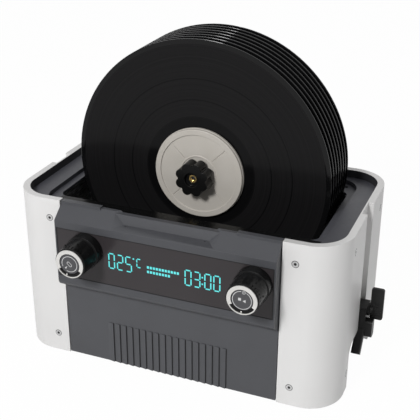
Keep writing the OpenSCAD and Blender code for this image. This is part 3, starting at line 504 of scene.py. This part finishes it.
NODE_FINISH = {
    "left_shell": SILVER, "right_shell": SILVER, "cabinet_screws": SCREW, "front_panel": PANEL,
    "console": CONSOLE, "display_window": WINDOW, "display_board": BOARD, "digit_module": SATIN,
    "left_knob_carrier": SATIN, "right_knob_carrier": SATIN, "knob_boards": BOARD, "left_knob": GLOSS,
    "right_knob": GLOSS, "left_knob_ring": RING, "right_knob_ring": RING, "left_button": LEFT_FACE,
    "right_button": RIGHT_FACE, "top_frame": DECK, "splash_strip": STRIP, "tank": TANK,
    "chassis": STEEL, "base_pan": STEEL, "feet": RUBBER, "transducers": SCREW, "heater_pads": FILM,
    "generator_board": BOARD, "power_supply": STEEL, "rear_panel": GREY, "power_inlet": SATIN,
    "power_switch_body": SATIN, "power_switch_rocker": RED, "fan_frame": SATIN, "fan_rotor": SATIN,
    "drain_pipe": STEEL, "drain_valve_body": SATIN, "drain_lever": SATIN, "guide_bushes": BRONZE,
    "drive_housing": DECK, "drive_cover": DECK, "guide_rods": ROD, "motor_plate": STEEL,
    "gear_motor": SCREW, "motor_pinion": BRASS, "front_bush": BRONZE, "rear_bush": BRONZE,
    "spindle": ROD, "spindle_gear": NYLON, "rear_clamp": CLAMP, "spacers": CLAMP, "front_clamp": CLAMP,
    "star_knob": STAR, "star_insert": BRASS,
}


def dress(obj, material):
    obj.data.materials.clear()
    obj.data.materials.append(material)


for name, node in NODES.items():
    dress(node, VINYL if name.startswith("record_") else NODE_FINISH[name])


# Modelling helpers

def only(obj):
    bpy.ops.object.select_all(action="DESELECT")
    obj.select_set(True)
    bpy.context.view_layer.objects.active = obj


def settle(obj):
    only(obj)
    bpy.ops.object.transform_apply(location=True, rotation=True, scale=True)


def softened(node, width, segments):
    """A copy of a node with its outside edges rounded, which then stands for the node."""
    source = NODES[node]
    piece = source.copy()
    piece.data = source.data.copy()
    piece.name = node + "_soft"
    piece.parent = None
    for key in list(piece.keys()):
        del piece[key]
    bpy.context.scene.collection.objects.link(piece)
    only(piece)
    bpy.ops.object.mode_set(mode="EDIT")
    bpy.ops.mesh.select_all(action="SELECT")
    bpy.ops.mesh.remove_doubles(threshold=0.000005)
    bpy.ops.mesh.dissolve_limited(angle_limit=math.radians(0.5))
    bpy.ops.object.mode_set(mode="OBJECT")
    bevel = piece.modifiers.new("edge", "BEVEL")
    bevel.width = width
    bevel.segments = segments
    bevel.limit_method = "ANGLE"
    bevel.angle_limit = math.radians(32.0)
    bevel.harden_normals = True
    bevel.use_clamp_overlap = True
    bpy.ops.object.shade_smooth_by_angle(angle=math.radians(44.0))
    bpy.ops.object.modifier_apply(modifier="edge")
    even = piece.modifiers.new("even", "WEIGHTED_NORMAL")
    even.mode = "FACE_AREA"
    even.weight = 100
    even.keep_sharp = True
    bpy.ops.object.modifier_apply(modifier="even")
    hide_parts(node)
    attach(piece, NODES[node]["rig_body"])
    return piece


# Lit figures on the window

WINDOW_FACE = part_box("display_window")[0][1] - 0.12 * MM
BAR_THICKNESS = 0.1 * MM
STROKE = 1.45 * MM
FIGURE_HEIGHT = 19.1 * MM
WARMTH_LOW_Z = 135.5 * MM
MINUTES_LOW_Z = 133.9 * MM
SEGMENTS = {"0": "abcdef", "2": "abged", "3": "abgcd", "5": "afgcd", "C": "afed"}


def bar(name, x0, z0, x1, z1, width, gap=None):
    """A flat bar with pointed ends between two points on the window."""
    length = math.hypot(x1 - x0, z1 - z0) - (width * 1.12 if gap is None else gap)
    bpy.ops.object.select_all(action="DESELECT")
    bpy.ops.mesh.primitive_plane_add(size=1.0, location=(0, 0, 0))
    piece = bpy.context.object
    piece.name = name
    bpy.ops.object.mode_set(mode="EDIT")
    bpy.ops.mesh.select_all(action="SELECT")
    bpy.ops.transform.resize(value=(length, width, 1.0))
    bpy.ops.mesh.extrude_region_move(TRANSFORM_OT_translate={"value": (0, 0, BAR_THICKNESS)})
    bpy.ops.object.mode_set(mode="OBJECT")
    bevel = piece.modifiers.new("points", "BEVEL")
    bevel.width = width * 0.40
    bevel.segments = 2
    bevel.limit_method = "ANGLE"
    bpy.ops.object.modifier_apply(modifier="points")
    turn = math.atan2(z1 - z0, x1 - x0)
    piece.matrix_world = (Matrix.Translation(((x0 + x1) / 2, WINDOW_FACE, (z0 + z1) / 2))
                          @ Matrix.Rotation(-turn, 4, "Y") @ Matrix.Rotation(math.radians(90), 4, "X"))
    return piece


def figure(letter, x, z, width, height, stroke):
    """The bars of one seven-segment figure, with its lower left corner at x, z."""
    left, right = x + stroke / 2, x + width - stroke / 2
    low, high = z + stroke / 2, z + height - stroke / 2
    mid = (low + high) / 2
    ends = {"a": (left, high, right, high), "b": (right, high, right, mid), "c": (right, mid, right, low),
            "d": (left, low, right, low), "e": (left, mid, left, low), "f": (left, high, left, mid),
            "g": (left, mid, right, mid)}
    return [bar("seg", *ends[s], stroke) for s in SEGMENTS[letter]]


def joined(name, pieces, material, body):
    bpy.ops.object.select_all(action="DESELECT")
    for piece in pieces:
        piece.select_set(True)
    bpy.context.view_layer.objects.active = pieces[0]
    bpy.ops.object.join()
    whole = bpy.context.object
    whole.name = name
    settle(whole)
    dress(whole, material)
    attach(whole, body)
    return whole


warmth = []
for i, letter in enumerate("025"):
    warmth += figure(letter, (-62.2 + 10.1 * i) * MM, WARMTH_LOW_Z, 8.0 * MM, FIGURE_HEIGHT, STROKE)
joined("warmth_figures", warmth, CYAN, "cabinet")

degree = figure("C", -28.8 * MM, 143.2 * MM, 6.2 * MM, 11.2 * MM, 1.3 * MM)
degree.append(bar("dot", -32.9 * MM, 152.9 * MM, -31.1 * MM, 152.9 * MM, 1.8 * MM, 0.0))
joined("degree_mark", degree, CYAN, "cabinet")

minutes = []
for letter, x in (("0", 26.9), ("3", 36.9), ("0", 49.1), ("0", 59.1)):
    minutes += figure(letter, x * MM, MINUTES_LOW_Z, 8.1 * MM, FIGURE_HEIGHT, STROKE)
for z in (139.4, 147.2):
    minutes.append(bar("dot", 46.1 * MM, z * MM, 47.9 * MM, z * MM, 1.7 * MM, 0.0))
joined("minutes_figures", minutes, CYAN, "cabinet")

level = []
for ticks, z in ((11, 146.2 * MM), (8, 140.8 * MM)):
    for i in range(ticks):
        x = (-16.4 + 3.45 * i) * MM
        level.append(bar("tick", x, z, x + 2.5 * MM, z, 3.0 * MM, 0.0))
joined("level_bars", level, CYAN, "cabinet")


# Small things on the shells and the knobs

def screw_places():
    """Head middles and outward ways of all the cabinet's screws, in millimetres."""
    for z in SHELL_SCREW_ROWS:
        for side in (-1, 1):
            for end in (-1, 1):
                yield (side * SHELL_SIDE_X, end * SIDE_SCREW_Y, z), (side, 0, 0)
                yield (side * END_SCREW_X, end * SHELL_END_Y, z), (0, end, 0)
    for side in (-1, 1):
        for z in REAR_SCREW_ROWS:
            yield (side * REAR_SCREW_X, REAR_PANEL_Y, z), (0, 1, 0)


def socket_shade():
    """Painted shade in a hexagon socket: a dark six-sided dish."""
    bpy.ops.object.select_all(action="DESELECT")
    bpy.ops.mesh.primitive_cylinder_add(vertices=6, radius=1.74 * MM, depth=0.5 * MM,
                                        location=(0, 0, -0.62 * MM))
    dish = bpy.context.object
    bpy.ops.object.mode_set(mode="EDIT")
    bpy.ops.mesh.select_all(action="DESELECT")
    bpy.ops.object.mode_set(mode="OBJECT")
    for face in dish.data.polygons:
        face.select = face.normal.z > 0.9
    bpy.ops.object.mode_set(mode="EDIT")
    bpy.ops.mesh.select_mode(type="FACE")
    bpy.ops.mesh.inset(thickness=0.25 * MM)
    bpy.ops.transform.translate(value=(0, 0, -0.35 * MM))
    bpy.ops.object.mode_set(mode="OBJECT")
    settle(dish)
    return dish


def head_shadow():
    """Painted shadow: a dark ring for the shade in the gap round a screw's head."""
    bpy.ops.object.select_all(action="DESELECT")
    bpy.ops.mesh.primitive_torus_add(major_radius=3.70 * MM, minor_radius=0.30 * MM, major_segments=32,
                                     minor_segments=6, location=(0, 0, 0))
    line = bpy.context.object
    bpy.ops.object.mode_set(mode="EDIT")
    bpy.ops.mesh.select_all(action="SELECT")
    bpy.ops.transform.resize(value=(1.0, 1.0, 0.35))
    bpy.ops.object.mode_set(mode="OBJECT")
    return line


def copied_to(piece, places, name, material, body):
    """Copies of a small piece, each turned from Z to a way and moved to a place, joined in one."""
    made = []
    for place, way in places:
        twin = piece.copy()
        twin.data = piece.data.copy()
        bpy.context.scene.collection.objects.link(twin)
        twin.matrix_world = (Matrix.Translation(Vector(place) * MM)
                             @ Vector(way).to_track_quat("Z", "Y").to_matrix().to_4x4())
        made.append(twin)
    bpy.data.objects.remove(piece)
    return joined(name, made, material, body)


# painted shade: a dark dish in each screw's socket
copied_to(socket_shade(), list(screw_places()), "screw_socket_shades", SHADE_BLACK, "cabinet")
# painted shadow: a dark ring round each screw's head
copied_to(head_shadow(), list(screw_places()), "screw_gap_shadows", SHADE_BLACK, "cabinet")


def glint_pip(name, x, angle, body):
    """A small bright silver pip on a knob's face, in the dark part of the ring: a painted highlight."""
    bpy.ops.object.select_all(action="DESELECT")
    bpy.ops.mesh.primitive_cube_add(size=1.0, location=(0, 0, 0))
    pip = bpy.context.object
    bpy.ops.object.mode_set(mode="EDIT")
    bpy.ops.mesh.select_all(action="SELECT")
    bpy.ops.transform.resize(value=(2.1 * MM, 0.5 * MM, 1.5 * MM))
    bpy.ops.mesh.bevel(offset=0.22 * MM, segments=2, affect="EDGES")
    bpy.ops.object.mode_set(mode="OBJECT")
    turn = math.radians(angle)
    pip.matrix_world = (Matrix.Translation(((x + GLINT_PIP_R * math.cos(turn)) * MM, KNOB_FACE_Y * MM,
                                            (KNOB_Z + GLINT_PIP_R * math.sin(turn)) * MM))
                        @ Matrix.Rotation(-turn, 4, "Y"))
    return joined(name, [pip], RING, body)


# painted highlights: bright pips where the knobs' faces show a highlight spot
glint_pip("left_glint_pip", LEFT_KNOB_X, -108.0, "left_dial")
glint_pip("right_glint_pip", RIGHT_KNOB_X, -93.0, "right_dial")


# Nodes with rounded outside edges: name, width in metres, segments

ROUNDED = (
    ("left_shell", 0.0007, 2), ("right_shell", 0.0007, 2), ("console", 0.0009, 3), ("top_frame", 0.0007, 2),
    ("drain_valve_body", 0.0012, 3), ("drain_lever", 0.0009, 2), ("star_knob", 0.0011, 3),
    ("left_knob", 0.0005, 2), ("right_knob", 0.0005, 2), ("front_clamp", 0.00035, 2),
    ("splash_strip", 0.0005, 2),
)


# Camera, light and ground. The camera is the photo's, with its angles in degrees.

CAMERA_PLACE = (0.3568, -0.8778, 0.6104)
CAMERA_SIDE = 21.754
CAMERA_RISE = 25.276
CAMERA_ROLL = 0.301
LENS = 77.64
MIDDLE = (0, 0, 0.2)


def camera():
    data = bpy.data.cameras.new("camera")
    data.sensor_width = 36.0
    data.sensor_fit = "HORIZONTAL"
    data.lens = LENS
    data.clip_start = 0.01
    obj = bpy.data.objects.new("camera", data)
    bpy.context.scene.collection.objects.link(obj)
    obj.matrix_world = (Matrix.Translation(CAMERA_PLACE)
                        @ Matrix.Rotation(math.radians(CAMERA_SIDE), 4, "Z")
                        @ Matrix.Rotation(math.radians(90.0 - CAMERA_RISE), 4, "X")
                        @ Matrix.Rotation(math.radians(CAMERA_ROLL), 4, "Z"))
    bpy.context.scene.camera = obj


def lamp(name, place, aim, size, power):
    data = bpy.data.lights.new(name, "AREA")
    data.shape = "RECTANGLE"
    data.size, data.size_y = size
    data.energy = power
    obj = bpy.data.objects.new(name, data)
    bpy.context.scene.collection.objects.link(obj)
    way = Vector(aim) - Vector(place)
    obj.matrix_world = Matrix.Translation(place) @ way.to_track_quat("-Z", "Y").to_matrix().to_4x4()


def ground():
    bpy.ops.object.select_all(action="DESELECT")
    bpy.ops.mesh.primitive_plane_add(size=8.0, location=(0, 0, -0.0005))
    floor = bpy.context.object
    floor.name = "floor"
    f = Finish("pale_floor", (0.86, 0.86, 0.86), 0.7)
    rays = f.tree.nodes.new("ShaderNodeLightPath")
    white = f.tree.nodes.new("ShaderNodeEmission")
    white.inputs["Color"].default_value = (1.0, 1.0, 1.0, 1.0)
    mix = f.tree.nodes.new("ShaderNodeMixShader")
    seen = Wire(f, rays.outputs["Is Camera Ray"]).larger(Wire(f, rays.outputs["Is Glossy Ray"]))
    seen = seen.larger(Wire(f, rays.outputs["Is Transmission Ray"])) * 0.98
    f.tree.links.new(seen.socket, mix.inputs[0])
    f.tree.links.new(f.surface.outputs[0], mix.inputs[1])
    f.tree.links.new(white.outputs[0], mix.inputs[2])
    f.tree.links.new(mix.outputs[0], f.output.inputs[0])
    dress(floor, f.material)


def surroundings():
    world = bpy.data.worlds.new("studio")
    bpy.context.scene.world = world
    world.use_nodes = True
    tree = world.node_tree
    tree.nodes.clear()
    out = tree.nodes.new("ShaderNodeOutputWorld")
    rays = tree.nodes.new("ShaderNodeLightPath")
    seen = tree.nodes.new("ShaderNodeBackground")
    seen.inputs["Color"].default_value = (1.0, 1.0, 1.0, 1.0)
    fill = tree.nodes.new("ShaderNodeBackground")
    fill.inputs["Color"].default_value = (1.0, 1.0, 1.0, 1.0)
    fill.inputs["Strength"].default_value = 0.25
    first, second = tree.nodes.new("ShaderNodeMath"), tree.nodes.new("ShaderNodeMath")
    first.operation = second.operation = "MAXIMUM"
    mix = tree.nodes.new("ShaderNodeMixShader")
    tree.links.new(rays.outputs["Is Camera Ray"], first.inputs[0])
    tree.links.new(rays.outputs["Is Glossy Ray"], first.inputs[1])
    tree.links.new(first.outputs[0], second.inputs[0])
    tree.links.new(rays.outputs["Is Transmission Ray"], second.inputs[1])
    tree.links.new(second.outputs[0], mix.inputs[0])
    tree.links.new(fill.outputs[0], mix.inputs[1])
    tree.links.new(seen.outputs[0], mix.inputs[2])
    tree.links.new(mix.outputs[0], out.inputs[0])


for part, width, segments in ROUNDED:
    softened(part, width, segments)

camera()
lamp("key", (-0.18, -1.69, 1.35), MIDDLE, (0.30, 0.30), 33.0)
lamp("back", (-0.6, 1.75, 1.05), MIDDLE, (0.3, 0.2), 1.0)
lamp("top", (0.0, 0.5, 1.8), MIDDLE, (1.6, 1.0), 1.5)
ground()
surroundings()
bpy.context.scene.view_settings.view_transform = "Standard"
